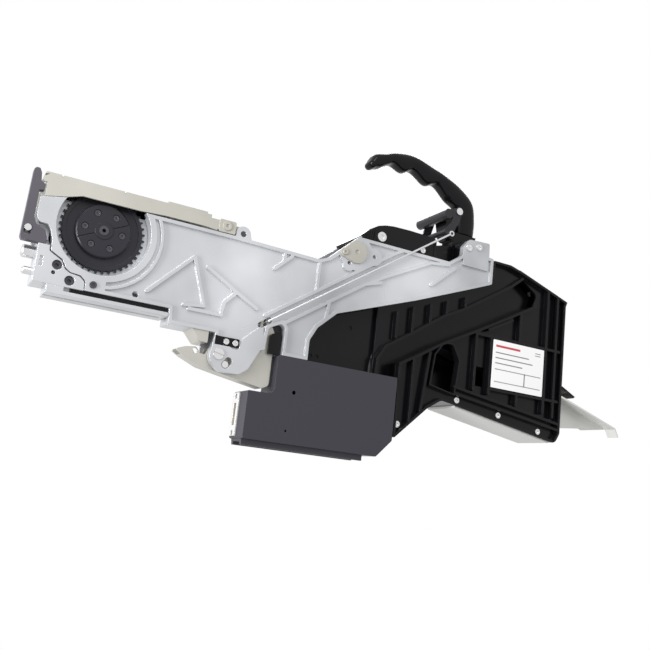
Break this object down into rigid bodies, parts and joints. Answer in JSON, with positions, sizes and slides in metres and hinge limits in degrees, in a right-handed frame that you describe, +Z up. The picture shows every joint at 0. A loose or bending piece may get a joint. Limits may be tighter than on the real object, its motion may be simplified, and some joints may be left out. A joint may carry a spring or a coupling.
{
  "type": "smt tape feeder",
  "caption": "Electric carrier-tape feeder for a surface-mount placement machine, with sprocket, tape guide, clamp lever, squeeze handle, electronics box and moulded rear body.",
  "frame": {"origin": "root of the upper locating pin, on the front face of the nose", "axes": "+X to the rear, along the feeder; +Y across the feeder, away from the face with the sprocket and the clamp lever; +Z up"},
  "size_m": [0.4889, 0.0431, 0.2403],
  "materials": {
    "cast_aluminium": "fine cast and machined, light grey",
    "machined_steel": "ground",
    "zinc_steel": "folded and plated sheet",
    "black_plastic": "moulded, satin to gloss black",
    "grip_plastic": "moulded, soft black",
    "dark_lever": "dark grey coated",
    "latch_paint": "dark grey coated",
    "guide_sheet": "warm grey",
    "sheet_metal": "dark blue-grey sheet",
    "blackened_steel": "black oxide",
    "screw_steel": "bright zinc",
    "dark_screw": "dull",
    "brass": "cut gear",
    "rubber": "dull",
    "circuit_board": "green board",
    "connector": "light shell",
    "label_white": "blank white film",
    "grey_plate": "light grey",
    "button_green": "gloss",
    "button_grey": "gloss",
    "lamp": "translucent red cap"
  },
  "bodies": {
    "feeder_base": {"main_frame": "cast_aluminium", "far_frame": "cast_aluminium", "frame_posts": "machined_steel", "nose_block": "cast_aluminium", "upper_locating_pin": "machined_steel", "lower_locating_pin": "machined_steel", "nose_screws": "dark_screw", "bottom_rail": "cast_aluminium", "clamp_jaw": "zinc_steel", "clamp_strip": "black_plastic", "strip_screws": "screw_steel", "cable_guard": "black_plastic", "clamp_pivot_screw": "screw_steel", "trigger_pin": "screw_steel", "handle_grip": "grip_plastic", "handle_post": "black_plastic", "handle_screws": "screw_steel", "top_cover": "black_plastic", "top_cover_screws": "screw_steel", "round_cover": "guide_sheet", "shaft_bearings": "screw_steel", "feed_motor": "dark_lever", "motor_plate": "black_plastic", "tape_deck": "grey_plate", "tape_channel": "sheet_metal", "guide_hinge_pins": "dark_screw", "latch_pin": "screw_steel", "peel_motor": "dark_lever", "peel_bracket": "machined_steel", "box_cover": "sheet_metal", "box_tray": "sheet_metal", "box_runner": "sheet_metal", "box_board": "circuit_board", "box_connector": "connector", "inner_panel": "black_plastic", "rear_cover": "black_plastic", "rear_cover_far": "black_plastic", "rear_bottom_plate": "grey_plate", "rating_plate": "label_white", "cover_screws": "screw_steel", "rear_ramp": "grey_plate", "entry_guide": "black_plastic", "operation_panel": "sheet_metal", "status_lamp": "lamp"},
    "sprocket": {"sprocket_wheel": "blackened_steel", "sprocket_hub": "blackened_steel", "hub_screws": "dark_screw", "sprocket_shaft": "dark_screw", "drive_gear": "brass"},
    "pinion": {"feed_pinion": "brass"},
    "tape_guide": {"upper_tape_guide": "guide_sheet"},
    "latch": {"front_latch": "latch_paint"},
    "trigger_lever": {"trigger": "dark_lever"},
    "rod": {"release_rod": "machined_steel"},
    "clamp": {"clamp_lever": "zinc_steel", "clamp_stop_pin": "screw_steel"},
    "peel": {"peel_roller": "dark_lever"},
    "pinch": {"pinch_roller": "rubber"},
    "forward_button": {"button_forward": "button_green"},
    "back_button": {"button_back": "button_grey"}
  },
  "joints": [
    {"name": "sprocket_spin", "type": "hinge", "parent": "feeder_base", "child": "sprocket", "pos_m": [0.0365, 0, 0.0215], "axis": [0, 1, 0], "continuous": true},
    {"name": "pinion_spin", "type": "hinge", "parent": "feeder_base", "child": "pinion", "pos_m": [0.05813, 0, 0.00636], "axis": [0, 1, 0], "continuous": true},
    {"name": "guide_lift", "type": "hinge", "parent": "feeder_base", "child": "tape_guide", "pos_m": [0.126, 0, 0.041], "axis": [0, 1, 0], "range_deg": [0, 50]},
    {"name": "latch_swing", "type": "hinge", "parent": "feeder_base", "child": "latch", "pos_m": [-0.0075, 0, 0.012], "axis": [0, -1, 0], "range_deg": [0, 20], "stiffness_Nm_per_rad": 0.04, "springref_deg": -11.46},
    {"name": "trigger_squeeze", "type": "hinge", "parent": "feeder_base", "child": "trigger_lever", "pos_m": [0.2985, 0, 0.1025], "axis": [0, 1, 0], "range_deg": [0, 22], "stiffness_Nm_per_rad": 0.8, "springref_deg": -17.19},
    {"name": "rod_swing", "type": "hinge", "parent": "trigger_lever", "child": "rod", "pos_m": [0.2921, 0, 0.0827], "axis": [0, -1, 0], "range_deg": [0, 25]},
    {"name": "clamp_swing", "type": "hinge", "parent": "feeder_base", "child": "clamp", "pos_m": [0.12, 0, -0.0415], "axis": [0, -1, 0], "range_deg": [0, 7.2]},
    {"name": "peel_spin", "type": "hinge", "parent": "feeder_base", "child": "peel", "pos_m": [0.2345, 0, 0.065], "axis": [0, 1, 0], "continuous": true},
    {"name": "pinch_spin", "type": "hinge", "parent": "feeder_base", "child": "pinch", "pos_m": [0.22455, 0, 0.06233], "axis": [0, 1, 0], "continuous": true},
    {"name": "button_forward_press", "type": "slide", "parent": "feeder_base", "child": "forward_button", "axis": [-0.2924, 0, -0.9563], "range_m": [0, 0.0012], "stiffness_N_per_m": 300, "springref_m": -0.001},
    {"name": "button_back_press", "type": "slide", "parent": "feeder_base", "child": "back_button", "axis": [-0.2924, 0, -0.9563], "range_m": [0, 0.0012], "stiffness_N_per_m": 300, "springref_m": -0.001}
  ],
  "couplings": [
    {"joint": "pinion_spin", "follows": "sprocket_spin", "ratio": -3.7143},
    {"joint": "rod_swing", "follows": "trigger_squeeze", "ratio": 1.1084},
    {"joint": "clamp_swing", "follows": "trigger_squeeze", "ratio": 0.31},
    {"joint": "pinch_spin", "follows": "peel_spin", "ratio": -2.3333}
  ]
}
